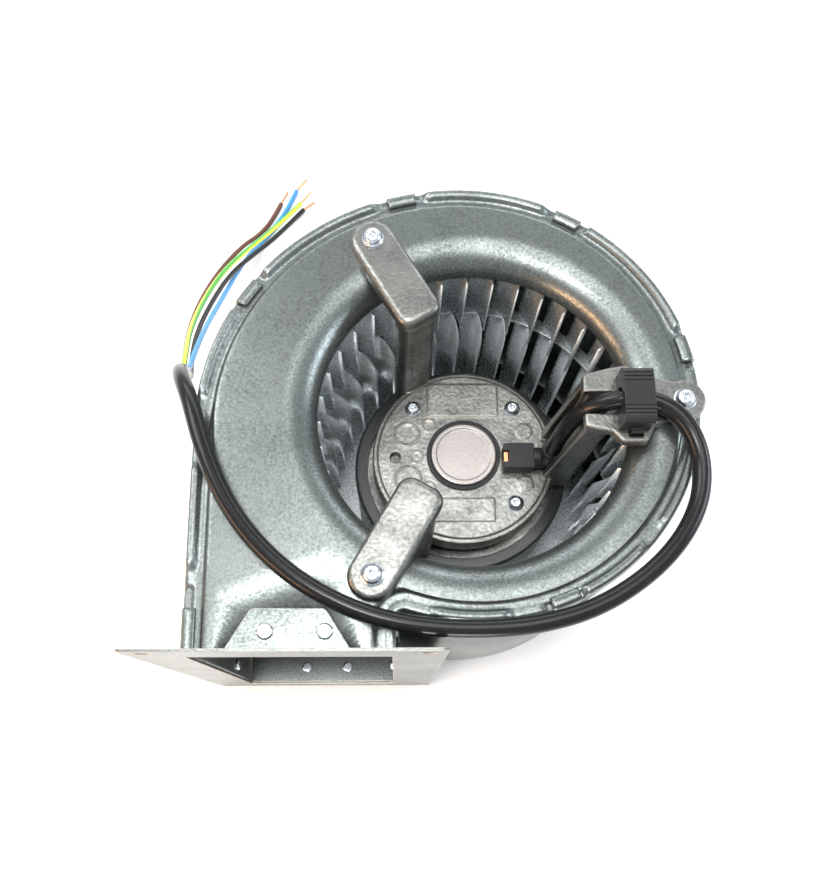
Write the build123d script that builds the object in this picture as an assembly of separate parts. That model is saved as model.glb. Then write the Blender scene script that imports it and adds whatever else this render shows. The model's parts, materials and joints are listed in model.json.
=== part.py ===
from build123d import *
from math import cos, pi, radians, sin, sqrt, tan
import os

# Combustion fan: a forward-curved centrifugal wheel on an external-rotor motor, in a sheet-steel
# scroll. Millimetres. +Z is the fan's axis, towards the inlet. The origin is on the axis, at the
# outer face of the back wall. The outlet looks along -Y.

# ---------------------------------------------------------------- driving dimensions
sheet = 1.0  # housing sheet thickness
rotor_r = 46.5  # outside of the rotor can
rotor_gap = 10.5  # from the rotor can to the blades
blade_depth = 13.0  # radial depth of a blade
blade_sheet = 0.6
blade_count = 36
rear_blade_height = 63.0
front_blade_height = 30.0
ring_sheet = 1.0  # rings and back disc of the wheel
back_gap = 6.0  # from the back wall to the wheel
inlet_gap = 2.5  # from the wheel's front ring to the inlet lip
lip_over_blades = 0.5  # the inlet lip is this much wider than the blades' inner circle
bell_width = 12.5  # the rounded inlet edge, across and down
bell_depth = 9.5
cutoff_gap = 8.5  # from the wheel to the scroll at its narrowest
scroll_growth_right = 2.8  # how much further out the scroll stands at each side
scroll_growth_top = 8.1
scroll_growth_left = 11.6
top_shift = 5.0  # the scroll's highest point lies this far left of the axis
tongue_r = 3.0
duct_width = 70.0  # inside the outlet duct
outlet_reach = 90.0  # from the axis to the outlet flange's outer face
rim_width = 7.0  # the lowered rim of the front wall
rim_drop = 2.0
flange_width = 106.0
flange_border = 12.5  # flange beyond the front and back walls
flange_hole_r = 2.5
flange_hole_inset = 6.5
tab_reach = 15.0  # riveted tabs of the flange, along the duct
rivet_spacing = 20.0
rivet_r = 1.6
rivet_head_r = 2.8
screw_r = 2.0  # M4
screw_head_r = 4.1
screw_head_height = 2.6
bolt_circle_over_bell = 3.5
arm_count = 3
arm_width = 17.0
arm_thickness = 5.0
cable_arm_thickness = 3.0
motor_height = 61.0  # from the rotor's bottom to the motor flange's face
flange_inset = 8.1  # the motor flange is this much smaller than the rotor can
flange_thickness = 9.0
shaft_r = 4.0
bearing_r = 11.0  # 608 bearings, 8 x 22 x 7
bearing_width = 7.0
bearing_ring = 2.0  # radial thickness of each bearing ring
ball_play = 0.05
balls = 8
tube_wall = 3.0  # bearing tube of the motor flange
can_wall = 1.5
air_gap = 0.5
rotor_core_depth = 11.4
core_height = 28.0
end_turn_height = 7.0
slots = 12
clearance = 0.3  # between parts that pass by each other
cable_r = 3.2
core_r = 1.2
wire_r = 0.6
wire_gap = 0.35  # between a core's cut end and its bared wire, where the two are not in line

# ---------------------------------------------------------------- sizes that follow
blade_inner_r = rotor_r + rotor_gap
wheel_r = blade_inner_r + blade_depth
lip_r = blade_inner_r + lip_over_blades
bell_r = lip_r + bell_width
bolt_circle_r = bell_r + bolt_circle_over_bell
disc_z = sheet + back_gap
rear_z = disc_z + ring_sheet
mid_ring_z = rear_z + rear_blade_height
front_z = mid_ring_z + ring_sheet
front_ring_z = front_z + front_blade_height
lip_z = front_ring_z + ring_sheet + inlet_gap
housing_depth = lip_z + bell_depth
wall_z = housing_depth - sheet  # underside of the raised front panel
rim_z = housing_depth - rim_drop  # top of the lowered rim
low_reach = wheel_r + cutoff_gap
right_reach = low_reach + scroll_growth_right
top_reach = right_reach + scroll_growth_top
left_reach = top_reach + scroll_growth_left
right_arc_r = right_reach + top_shift
right_arc_y = top_reach - right_arc_r
left_arc_r = left_reach - top_shift
left_arc_y = top_reach - left_arc_r
low_arc_r = right_arc_y + low_reach
low_arc_x = right_reach - low_arc_r
duct_left = -left_reach + sheet
duct_right = duct_left + duct_width
duct_mid = (duct_left + duct_right) / 2
duct_end = -outlet_reach + sheet
rotor_z = rear_z
face_z = rotor_z + motor_height  # face of the motor flange
flange_z = face_z - flange_thickness
motor_flange_r = rotor_r - flange_inset
tube_r = bearing_r + tube_wall
stator_r = rotor_r - can_wall - rotor_core_depth - air_gap
core_z = rotor_z + 12.0
core_top = core_z + core_height
can_height = 47.0
tube_z = rotor_z + 7.0
rear_bearing_z = tube_z + 1.0
front_bearing_z = face_z - 13.0


def at_angle(radius, angle):
    return (radius * cos(radians(angle)), radius * sin(radians(angle)))


def disc(radius, z, height, at=(0, 0)):
    """A cylinder that stands on z."""
    return Pos(at[0], at[1], z) * Cylinder(radius, height, align=(Align.CENTER, Align.CENTER, Align.MIN))


def ring(outer, inner, z, height, at=(0, 0)):
    return disc(outer, z, height, at) - disc(inner, z, height, at)


def block(x0, x1, y0, y1, z0, z1):
    return Pos(x0, y0, z0) * Box(x1 - x0, y1 - y0, z1 - z0, align=(Align.MIN, Align.MIN, Align.MIN))


def slab(face, z, height):
    return extrude(Pos(0, 0, z) * face, amount=height, dir=(0, 0, 1))


def save(name, shape):
    export_step(shape, f"parts/{name}.step")


def group(solids):
    return Compound(children=list(solids))


# ---------------------------------------------------------------- scroll housing
def scroll_face(inset):
    """The housing's outline, moved inwards by inset. It is open-ended at the outlet."""
    left, right, top = inset - left_reach, right_reach - inset, top_reach - inset
    wall = duct_right + sheet - inset
    r0, r1, r2 = low_arc_r - inset, right_arc_r - inset, left_arc_r - inset
    corner = (wall, right_arc_y - sqrt(r0**2 - (wall - low_arc_x) ** 2))
    low = (low_arc_x + r0 * cos(pi / 4), right_arc_y - r0 * sin(pi / 4))
    high = (-top_shift + r1 * cos(pi / 4), right_arc_y + r1 * sin(pi / 4))
    back = (-top_shift - r2 * cos(pi / 4), left_arc_y + r2 * sin(pi / 4))
    with BuildSketch() as s:
        with BuildLine():
            Line((wall, duct_end), corner)
            ThreePointArc(corner, low, (right, right_arc_y))
            ThreePointArc((right, right_arc_y), high, (-top_shift, top))
            ThreePointArc((-top_shift, top), back, (left, left_arc_y))
            Line((left, left_arc_y), (left, duct_end))
            Line((left, duct_end), (wall, duct_end))
        make_face()
        tongue = [v for v in s.vertices() if abs(v.X - corner[0]) + abs(v.Y - corner[1]) < 0.01]
        fillet(tongue, tongue_r + inset)
    return s.sketch


bolts = [at_angle(bolt_circle_r, k * 360 / arm_count) for k in range(arm_count)]


def panel_face(inset):
    """The raised part of the front wall, with a round seat under each bracket screw."""
    face = scroll_face(rim_width + inset)
    for x, y in bolts:
        face = face + Pos(x, y) * Circle(screw_head_r + 1.9 - inset)
    return face


def inlet_bell():
    centre = (bell_r, housing_depth - bell_depth)
    with BuildSketch(Plane.XZ) as s:
        with BuildLine():
            EllipticalCenterArc(centre, bell_width, bell_depth, 90, arc_size=90)
            EllipticalCenterArc(centre, bell_width - sheet, bell_depth - sheet, 90, arc_size=90)
            Line((bell_r, wall_z), (bell_r, housing_depth))
            Line((lip_r, centre[1]), (lip_r + sheet, centre[1]))
        make_face()
    return revolve(s.sketch, Axis.Z)


def front_wall():
    wall = slab(scroll_face(sheet) - panel_face(sheet), rim_z - sheet, sheet)
    wall += slab(panel_face(0) - panel_face(sheet), rim_z - sheet, rim_drop + sheet)
    wall += slab(panel_face(0), wall_z, sheet)
    wall -= disc(bell_r, wall_z, sheet)
    wall += inlet_bell()
    for at in bolts:
        wall -= disc(screw_r, wall_z, sheet, at)
    for x in rivet_xs:
        wall -= disc(rivet_r, wall_z, sheet, (x, rivet_y))
    return wall


tab_angles = [16, 64, 107, 151, 292]  # tabs of the band, folded over the front wall's rim
tab_length = 12.0
tab_fold = 3.5


def band():
    hoop = slab(scroll_face(0) - scroll_face(sheet), 0, rim_z)
    lip = slab(scroll_face(0) - scroll_face(tab_fold), rim_z, 0.8)
    for angle in tab_angles:
        cutter = Rot(0, 0, angle) * Pos(90, 0, rim_z) * Box(60, tab_length, 4)
        hoop += lip & cutter
    hoop += lip & block(-left_reach - 5, -80, -82, -82 + tab_length, rim_z - 2, rim_z + 2)
    for y, z in side_rivets:
        hoop -= Pos(0, y, z) * Rot(0, 90, 0) * Cylinder(rivet_r, 3 * left_reach)
    return hoop


rivet_xs = (duct_mid + 2.5 - rivet_spacing / 2, duct_mid + 2.5 + rivet_spacing / 2)
rivet_y = duct_end + 7.0
side_rivet_y = duct_end + 5.0
side_rivets = [(side_rivet_y, housing_depth / 2 - 25), (side_rivet_y, housing_depth / 2 + 25)]


def tab(base, tip, reach):
    """A tapered flange tab in the XY plane, from the flange towards +Y."""
    points = [(-base, 0), (base, 0), (tip, reach), (-tip, reach)]
    return fillet(Polygon(*points, align=None).vertices().sort_by(Axis.Y)[-2:], 2.5)


def outlet_flange():
    left, right = duct_mid - flange_width / 2, duct_mid + flange_width / 2
    plate = block(left, right, -outlet_reach, duct_end, -flange_border, housing_depth + flange_border)
    plate = fillet(plate.edges().filter_by(Axis.Y), 2.0)
    plate -= block(duct_left, duct_right, -outlet_reach, duct_end, sheet, rim_z - sheet)
    for x, z in flange_holes:
        plate -= Pos(x, -outlet_reach, z) * Rot(90, 0, 0) * Cylinder(flange_hole_r, 4 * sheet)
    wide, narrow = duct_width * 0.31, duct_width * 0.18
    flat = slab(Pos(duct_mid, duct_end) * tab(wide, narrow, tab_reach), housing_depth, sheet)
    flat += slab(Pos(duct_mid, duct_end) * tab(wide, narrow, tab_reach), -sheet, sheet)
    for x in rivet_xs:
        flat -= disc(rivet_r, -sheet, housing_depth + 2 * sheet, (x, rivet_y))
    side = slab(Pos(0, duct_end) * tab(34.0, 30.0, 9.5), 0, sheet)
    for z in (-25, 25):
        side -= disc(rivet_r, 0, sheet, (z, side_rivet_y))
    upright = Rot(0, -90, 0) * side
    plate += flat
    plate += Pos(-left_reach, 0, housing_depth / 2) * upright
    plate += Pos(duct_right + 2 * sheet, 0, housing_depth / 2) * upright
    return plate


flange_holes = [
    (duct_mid + i * (flange_width / 2 - flange_hole_inset), z)
    for i in (-1, 1)
    for z in (flange_hole_inset - flange_border, housing_depth + flange_border - flange_hole_inset)
]


def rivet():
    """A blind rivet through two sheets: its tab side is up, and z = 0 is the sheets' joint."""
    shank = disc(rivet_r, -sheet, 2 * sheet)
    head = fillet(disc(rivet_head_r, sheet, 1.1).edges().sort_by(Axis.Z)[-1], 0.8)
    head -= disc(0.8, sheet + 0.6, 1)
    tail = fillet(disc(rivet_head_r - 0.3, -sheet - 1.3, 1.3).edges().sort_by(Axis.Z)[0], 0.9)
    return shank + head + tail


def flange_rivets():
    one = rivet()
    made = [Pos(x, rivet_y, housing_depth) * one for x in rivet_xs]
    made += [Pos(x, rivet_y, 0) * Rot(180, 0, 0) * one for x in rivet_xs]
    for y, z in side_rivets:
        made.append(Pos(-left_reach, y, z) * Rot(0, -90, 0) * one)
        made.append(Pos(duct_right + sheet, y, z) * Rot(0, 90, 0) * one)
    return group(made)


# ---------------------------------------------------------------- cable
def cord_path(points):
    """Straight runs joined by arcs as wide as the runs allow, and the arcs' radii."""
    corners = [Vector(*p) for p in points]
    radii = []
    for a, b, c in zip(corners, corners[1:], corners[2:]):
        turn = (b - a).get_angle(c - b)
        radii.append(0.45 * min((b - a).length, (c - b).length) / tan(radians(turn) / 2))
    return FilletPolyline(*corners, radius=radii), radii


def tube(points, radius):
    path, radii = cord_path(points)
    start = Plane(origin=path @ 0, z_dir=path % 0)
    return sweep(start * Circle(radius), path=path)


def cord(name, points, radius):
    """A round cord of its own, with its length, its bends and its volume printed."""
    path, radii = cord_path(points)
    solid = tube(points, radius)
    full = solid.volume / (pi * radius**2 * path.length)
    print(f"{name}: length {path.length:.1f}, volume {full:.4f} of its section times its length")
    print("  radii " + " ".join(f"{r:.0f}" for r in radii))
    save(name, solid)


boot_x, boot_y = 34.6, -3.0
boot_top = face_z + 13.0
sheath_route = [
    (boot_x, boot_y, boot_top),
    (boot_x, boot_y, boot_top + 12.0),
    (36.5, -1.8, housing_depth - 9),
    (42.5, -0.6, housing_depth + 0.5),
    (51.5, -0.9, housing_depth + 6),
    (61.0, -2.0, housing_depth + 6.8),
    (69.5, -7.0, housing_depth + 6.4),
    (75.2, -15.5, housing_depth + 4.9),
    (77.3, -26.5, housing_depth + 3.7),
    (75.0, -39.5, housing_depth + 3.4),
    (67.0, -53.0, housing_depth + 3.3),
    (54.5, -65.0, housing_depth + 3.2),
    (37.5, -75.2, housing_depth + 3.2),
    (18.0, -80.6, housing_depth + 3.2),
    (-2.0, -82.0, housing_depth + 3.2),
    (-22.0, -80.8, housing_depth + 3.3),
    (-41.5, -76.0, housing_depth + 3.3),
    (-60.5, -66.0, housing_depth + 3.3),
    (-76.0, -52.6, housing_depth + 3.3),
    (-87.6, -36.6, housing_depth + 3.4),
    (-95.6, -18.3, housing_depth + 3.6),
    (-101.5, 1.0, housing_depth + 2.4),
    (-107.5, 14.0, housing_depth - 4.5),
    (-112.0, 24.0, housing_depth - 17.5),
    (-115.5, 30.5, housing_depth - 33),
]
gutter_x = 52.0  # the cable's bend from the channel to the gutter is open up to here
gutter_start = Vector(gutter_x - 3, -0.9, housing_depth + 5.6)
gutter_end = Vector(63.0, -2.0, housing_depth + 6.4)


def along(start, end, radius):
    """A straight round bar from start to end."""
    return extrude(Plane(origin=start, z_dir=end - start) * Circle(radius), amount=(end - start).length)


# ---------------------------------------------------------------- motor bracket
pad_inner_r = motor_flange_r - 2.4
post_depth = 9.0
post_width = 14.0
plate_x = (motor_flange_r - 0.4, bolt_circle_r)  # the cable arm's top plate, along X
clip_x = (bolt_circle_r - 24.0, bolt_circle_r - 13.5)
clip_y = (-11.8, 8.4)
slot_x = (clip_x[0] + 3.4, clip_x[0] + 8.6)
slot_y = (-14.0, -8.0)
cable_arm_top = housing_depth + cable_arm_thickness
channel_y = 7.5  # half the inside width of the cable arm's channel
channel_wall = 2.5
clip_y_mid = -1.0  # the cable lies this far off the arm's middle under the clip


def plain_arm(angle):
    """A flat arm on the front wall that turns down into a half-round post."""
    top = housing_depth + arm_thickness
    with BuildSketch() as s:
        with Locations((bolt_circle_r, 0)):
            Circle(arm_width / 2)
        with Locations(((pad_inner_r + bolt_circle_r) / 2, 0)):
            Rectangle(bolt_circle_r - pad_inner_r, arm_width)
        fillet(s.vertices().sort_by(Axis.X)[:2], 5.0)
    pad = extrude(Pos(0, 0, housing_depth) * s.sketch, amount=arm_thickness)
    edges = pad.faces().sort_by(Axis.Z)[-1].edges()
    pad = fillet(edges, 2.4)
    with BuildSketch() as p:
        with Locations((pad_inner_r + post_depth / 2 + 0.6, 0)):
            RectangleRounded(post_depth, post_width, 4.0)
    post = extrude(Pos(0, 0, flange_z) * p.sketch, amount=top - 1.0 - flange_z)
    arm = pad + post
    arm -= disc(screw_r, housing_depth, arm_thickness, (bolt_circle_r, 0))
    return Rot(0, 0, angle) * arm


def cable_arm():
    """The arm that carries the cable: a channel up from the flange, a lug and an ear."""
    x0, x1 = plate_x
    lug = (slot_x[0] + slot_x[1]) / 2
    outline = [
        (x0, -channel_y - channel_wall),
        (lug - 8, -channel_y - channel_wall - 2),
        (lug - 4.5, slot_y[0] - 2.0),
        (lug + 4.0, slot_y[0] - 2.0),
        (lug + 7.5, -channel_y - 2),
        (x1 - 2, -6.9),
        (x1 - 2, 6.9),
        (clip_x[1] + 2, 9.0),
        (clip_x[0] + 4, 13.5),
        (clip_x[0] - 2, 12.5),
        (x0, channel_y + channel_wall),
    ]
    with BuildSketch() as s:
        Polygon(*outline, align=None)
        fillet([v for v in s.vertices() if v.X < x1 - 3], 1.8)
        with Locations((x1, 0)):
            Circle(screw_head_r + 3.6)
    plate = extrude(Pos(0, 0, housing_depth) * s.sketch, amount=cable_arm_thickness)
    plate = fillet(plate.faces().sort_by(Axis.Z)[-1].edges(), 0.8)
    web_x = motor_flange_r + 2.1
    half = channel_y + channel_wall
    post = block(web_x, web_x + 4, -half, half, flange_z, cable_arm_top - 1)
    wall_outline = [
        (motor_flange_r - 6.5, flange_z),
        (web_x + 1, flange_z),
        (web_x + 7, housing_depth),
        (x0 + 1, housing_depth),
    ]
    for side in (-1, 1):
        inner, outer = side * channel_y, side * (channel_y + channel_wall)
        low, high = min(inner, outer), max(inner, outer)
        side_wall = Polygon(*wall_outline, align=None)
        post += Pos(0, high, 0) * extrude(Plane.XZ * side_wall, amount=high - low)
    arm = plate + post
    arm -= block(slot_x[0], slot_x[1], slot_y[0], slot_y[1], housing_depth, cable_arm_top)
    arm -= disc(screw_r, housing_depth, cable_arm_thickness, (x1, 0))
    low, high = clip_y_mid - cable_r - 1.2, clip_y_mid + cable_r + 1.2
    arm -= block(x0 - 1, gutter_x, low, high, housing_depth - 13, cable_arm_top + 4)
    return arm - along(gutter_start, gutter_end, cable_r + 3 * clearance)


plate_thickness = 0.5
stator_screws_at = [at_angle(30.0, 45 + 90 * k) for k in range(4)]
lead_at = (22.0, -2.7)


def motor_bracket():
    body = disc(motor_flange_r, flange_z, flange_thickness - 1)
    body = fillet(body.edges().sort_by(Axis.Z)[-1], 0.8)
    body += fillet(disc(motor_flange_r - 2.1, flange_z, flange_thickness).edges().sort_by(Axis.Z)[-1], 0.5)
    body += disc(tube_r, tube_z, flange_z - tube_z + 1)
    for angle in (120, 240):
        body += plain_arm(angle)
    body += cable_arm()
    reliefs = [
        Pos(0, 25, face_z) * Box(30, 15, 2 * plate_thickness),
        Pos(0, -24, face_z) * Box(25, 10, 2 * plate_thickness),
    ]
    for relief in reliefs:
        body += relief & disc(motor_flange_r - 3.5, face_z - 1, 3)
    for x, y, r in ((-23.8, 9.4, 5.4), (-23.5, -10.5, 5.7)):
        body += ring(r, r - 0.8, face_z - 0.5, 1.0, (x, y))
    for x, y in ((-14.6, 13.6), (-19.9, -0.7), (-14.9, -14.5)):
        body += ring(2.9, 2.3, face_z - 0.5, 0.9, (x, y))
    for x, y in ((25.8, 10.6), (25.6, -12.6)):
        body += disc(3.4, face_z - 0.5, 0.9, (x, y))
    body -= disc(2.3, face_z - 4, 5, (-28.7, -0.5))
    body -= disc(bearing_r, rear_bearing_z, face_z - rear_bearing_z + 2)
    body -= disc(bearing_r - bearing_ring, tube_z, 2)
    body -= disc(3.0, flange_z, flange_thickness, lead_at)
    for at in stator_screws_at:
        body -= disc(1.75, flange_z, flange_thickness + 1, at)
    return body


def pan_screw(radius, head_r, head_height, length):
    """Its seat is at z = 0, with the shank below and a six-lobe socket in the head."""
    head = fillet(disc(head_r, 0, head_height).edges().sort_by(Axis.Z)[-1], head_height * 0.55)
    socket = disc(head_r * 0.38, head_height * 0.45, head_height)
    for k in range(6):
        socket += disc(head_r * 0.13, head_height * 0.45, head_height, at_angle(head_r * 0.38, 60 * k))
    return disc(radius, -length, length) + (head - socket)


def bracket_screws():
    made = []
    for k, (x, y) in enumerate(bolts):
        seat = cable_arm_thickness if k == 0 else arm_thickness
        one = pan_screw(screw_r, screw_head_r, screw_head_height, seat + sheet + 4.0)
        made.append(Pos(x, y, housing_depth + seat) * one)
    return group(made)


def bracket_nuts():
    nut = Pos(0, 0, wall_z - 3.2) * extrude(RegularPolygon(3.9, 6), amount=3.2)
    return group(Pos(x, y, 0) * (nut - disc(screw_r, wall_z - 3.2, 3.2)) for x, y in bolts)


def stator_screws():
    one = pan_screw(1.75, 3.4, 2.0, 8.0)
    return group(Pos(x, y, face_z) * one for x, y in stator_screws_at)


# ---------------------------------------------------------------- motor, fixed side
cap_r = 13.8
seal_r = 15.5
windings_r = stator_r - 2.0
slot_inner_r = tube_r + 4.0


def bearing_cap():
    cap = fillet(disc(cap_r, face_z, 1.8).edges().sort_by(Axis.Z)[-1], 0.8)
    cap -= disc(cap_r - 2.3, face_z + 1.2, 1)
    cap += disc(bearing_r, face_z - 5, 5)
    return cap - disc(bearing_r - 3, face_z - 5, 4)


def slot_bars(width, z, height):
    depth = windings_r - slot_inner_r
    bar = Pos(slot_inner_r + depth / 2, 0, z + height / 2) * Box(depth, width, height)
    return [Rot(0, 0, k * 360 / slots + 15) * bar for k in range(slots)]


def stator_core():
    core = ring(stator_r, tube_r, core_z, core_height)
    for bar in slot_bars(4.0, core_z, core_height):
        core -= bar
    return core


def stator_insulators():
    made = []
    for z in (core_z - 0.8, core_top):
        one = ring(stator_r - 1, tube_r, z, 0.8)
        for bar in slot_bars(4.0, z, 0.8):
            one -= bar
        made.append(one)
    return group(made)


def stator_windings():
    coil = Pos(0, 0, core_top + 0.8) * ring(windings_r, slot_inner_r, 0, end_turn_height - 0.8)
    coil = fillet(coil.edges().sort_by(Axis.Z)[-2:], 2.0)
    low = Pos(0, 0, core_z - end_turn_height) * ring(windings_r, slot_inner_r, 0, end_turn_height - 0.8)
    coil += fillet(low.edges().sort_by(Axis.Z)[:2], 2.0)
    for bar in slot_bars(3.6, core_z - 1, core_height + 2):
        coil += bar
    return coil


def stator_leads():
    length = face_z - core_top - end_turn_height
    x, y = lead_at
    spots = [(x + i, y + j) for i in (-1.1, 1.1) for j in (-1.1, 1.1)]
    return group(disc(0.9, face_z - length, length, at) for at in spots)


def bearing_rings(outer, inner):
    zs = (rear_bearing_z, front_bearing_z)
    return group(ring(outer, inner, z, bearing_width) for z in zs)


def bearing_balls():
    inner, outer = shaft_r + bearing_ring, bearing_r - bearing_ring
    ball = Sphere((outer - inner) / 2 - ball_play)
    made = []
    for z in (rear_bearing_z, front_bearing_z):
        for k in range(balls):
            x, y = at_angle((inner + outer) / 2, k * 360 / balls)
            made.append(Pos(x, y, z + bearing_width / 2) * ball)
    return group(made)


# ---------------------------------------------------------------- rotor and wheel
hub_r = 9.0
rivet_circle_r = 27.0


def rotor_can():
    can = disc(rotor_r, rotor_z, can_height)
    can = fillet(can.edges().sort_by(Axis.Z)[0], 4.0)
    can = fillet(can.edges().sort_by(Axis.Z)[-1], 1.2)
    can -= disc(rotor_r - can_wall, rotor_z + can_wall, can_height - can_wall - 1.2)
    can -= disc(rotor_r - 5.5, rotor_z + can_wall, can_height)
    can += disc(hub_r, rotor_z, 6.0)
    can -= disc(shaft_r, rotor_z, 8)
    for k in range(6):
        can -= disc(1.5, rotor_z, can_wall, at_angle(rivet_circle_r, 60 * k))
    return can


def hub_rivets():
    z = disc_z
    shank = disc(1.5, z, ring_sheet + can_wall)
    one = shank + disc(2.8, z - 1, 1) + disc(2.8, z + ring_sheet + can_wall, 0.8)
    return group(Pos(*at_angle(rivet_circle_r, 60 * k), 0) * one for k in range(6))


def wheel_ring(outer, inner, z):
    return ring(outer, inner, z, ring_sheet)


def back_disc():
    plate = ring(wheel_r, hub_r, disc_z, ring_sheet)
    for k in range(6):
        plate -= disc(1.5, disc_z, ring_sheet, at_angle(rivet_circle_r, 60 * k))
    return plate


def blade_section(inner_r, outer_r):
    """A thin forward-curved blade: its tip leans the way the wheel turns, counter-clockwise."""
    turn = 9.0
    start = Vector(*at_angle(inner_r, 0))
    end = Vector(*at_angle(outer_r, turn))
    middle = (start + end) * 0.5
    chord = end - start
    hollow = Vector(chord.Y, -chord.X).normalized()
    bow = chord.length * 0.20
    face_a = ThreePointArc(start, middle + hollow * bow, end)
    thick = hollow * blade_sheet
    face_b = ThreePointArc(start + thick, middle + hollow * (bow + blade_sheet), end + thick)
    ends = [Line(face_a @ 0, face_b @ 0), Line(face_a @ 1, face_b @ 1)]
    return make_face([face_a, face_b] + ends)


blade_margin = 0.6  # the blades stop short of the rings' outer edge


def blades(z, height, cut):
    """One row of blades. cut takes the front inner corner off each, on a slant."""
    one = slab(blade_section(blade_inner_r, wheel_r - blade_margin), z, height)
    if cut:
        x, top = blade_inner_r, z + height
        corner = Polygon((x - 3, top - cut * 1.6), (x + cut, top + 1), (x - 3, top + 1), align=None)
        one -= extrude(Plane.XZ * corner, amount=6, both=True)
    return group(Rot(0, 0, k * 360 / blade_count) * one for k in range(blade_count))


# ---------------------------------------------------------------- cable fittings
def cable_connector():
    housing = block(16, 28.4, -8, 2.5, face_z, face_z + 7)
    housing = fillet(housing.edges().filter_by(Axis.Z), 0.8)
    housing -= block(15, 18, -5.5, -0.5, face_z + 2, face_z + 8)
    low = face_z + 4.4
    boot = Pos((28 + boot_x) / 2, boot_y, low) * Rot(0, 90, 0) * Cylinder(4.2, boot_x - 28)
    boot += Pos(boot_x, boot_y, low) * Sphere(4.2)
    boot += disc(4.2, low, boot_top - low - 2, (boot_x, boot_y))
    boot += Pos(boot_x, boot_y, boot_top - 1) * Cone(4.2, cable_r + 0.4, 2)
    return housing + boot


def connector_terminal():
    return block(16.2, 17.8, -5.3, -0.7, face_z + 2, face_z + 5.5)


def cable_clip():
    x0, x1 = clip_x
    y0, y1 = clip_y
    z0 = cable_arm_top
    body = block(x0, x1, y0, y1, z0, z0 + 8.6)
    body = fillet(body.edges().filter_by(Axis.X).sort_by(Axis.Z)[-2:], 2.6)
    for k in range(4):
        for y in (y0 + 1.0 + 1.5 * k, y1 - 1.0 - 1.5 * k):
            body -= block(x0, x1, y - 0.3, y + 0.3, z0 + 8.1, z0 + 9)
    body -= along(gutter_start, gutter_end, cable_r + 2 * clearance)
    middle = clip_y_mid - 0.6
    body -= block(x0, x1, middle - cable_r - 0.8, middle + cable_r + 0.8, z0, z0 + cable_r)
    body += block(slot_x[0] + 0.4, slot_x[1] - 0.4, slot_y[0] + 0.6, slot_y[1] - 0.4, z0 - 6, z0)
    body += block(slot_x[0] + 0.4, slot_x[1] - 0.4, slot_y[0] + 0.6, y0 + 1, z0 - 1, z0 + 2)
    return body


# The fan lies on its back with the flange's edge on the surface, at z = -flange_border. The cable
# lies across the front wall, leaves it at the left and comes down to that surface.
sheath_end = Vector(*sheath_route[-1])
sheath_way = (sheath_end - Vector(*sheath_route[-2])).normalized()
core_spread = 1.4  # the four cores leave the sheath in a square
side_way = sheath_way.cross(Vector(0, 0, 1)).normalized()
over_way = side_way.cross(sheath_way).normalized()
core_routes = {
    "green_yellow": [
        (-122.1, 51.3, 62.0),
        (-126.3, 76.1, 44.0),
        (-124.8, 103.7, 28.0),
        (-119.6, 129.5, 14.0),
        (-109.3, 151.5, 3.0),
        (-97.2, 169.6, -4.5),
        (-83.3, 189.5, -8.6),
    ],
    "blue": [
        (-118.6, 53.9, 60.0),
        (-119.8, 80.2, 40.0),
        (-118.4, 106.8, 21.0),
        (-116.8, 131.5, 4.5),
        (-112.3, 152.7, -6.0),
        (-105.7, 165.7, -11.0),
        (-97.9, 176.4, -11.2),
        (-91.2, 187.8, -11.2),
        (-86.2, 200.6, -11.2),
    ],
    "black": [
        (-120.4, 51.3, 58.5),
        (-124.0, 76.8, 40.5),
        (-122.3, 104.3, 24.0),
        (-117.4, 130.0, 10.0),
        (-107.4, 150.7, -1.0),
        (-96.2, 167.2, -8.0),
        (-81.8, 187.7, -11.2),
    ],
    "brown": [
        (-124.4, 52.0, 56.5),
        (-128.4, 78.3, 40.0),
        (-127.8, 107.1, 23.5),
        (-123.0, 134.4, 8.5),
        (-114.7, 157.8, -3.5),
        (-107.5, 169.9, -10.5),
        (-100.3, 179.8, -11.2),
        (-95.1, 191.8, -11.2),
    ],
}
core_corner = {"green_yellow": (-1, 1), "blue": (1, 1), "black": (1, -1), "brown": (-1, -1)}
wire_tips = {
    "green_yellow": (-77.4, 197.4, -9.0),
    "blue": (-80.2, 208.4, -11.2),
    "black": (-75.4, 192.9, -11.2),
    "brown": (-91.2, 199.8, -11.2),
}


def core_points(name):
    i, j = core_corner[name]
    start = sheath_end + side_way * (i * core_spread) + over_way * (j * core_spread)
    points = [start + sheath_way * 0.1, start + sheath_way * 12.0]
    return [(p.X, p.Y, p.Z) for p in points] + core_routes[name]


def bared_wire(name):
    """The stripped end of a core, straight on from it."""
    start, tip = Vector(*core_routes[name][-1]), Vector(*wire_tips[name])
    way = (tip - start).normalized()
    length = (tip - start).length
    end = Plane(origin=start + way * wire_gap, z_dir=way) * Circle(wire_r)
    return extrude(end, amount=length - wire_gap)


# ---------------------------------------------------------------- write the parts
os.makedirs("parts", exist_ok=True)

save("scroll_back_wall", slab(scroll_face(sheet), 0, sheet) - group(
    disc(rivet_r, 0, sheet, (x, rivet_y)) for x in rivet_xs))
save("scroll_front_wall", front_wall())
save("scroll_band", band())
save("outlet_flange", outlet_flange())
save("flange_rivets", flange_rivets())

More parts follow.
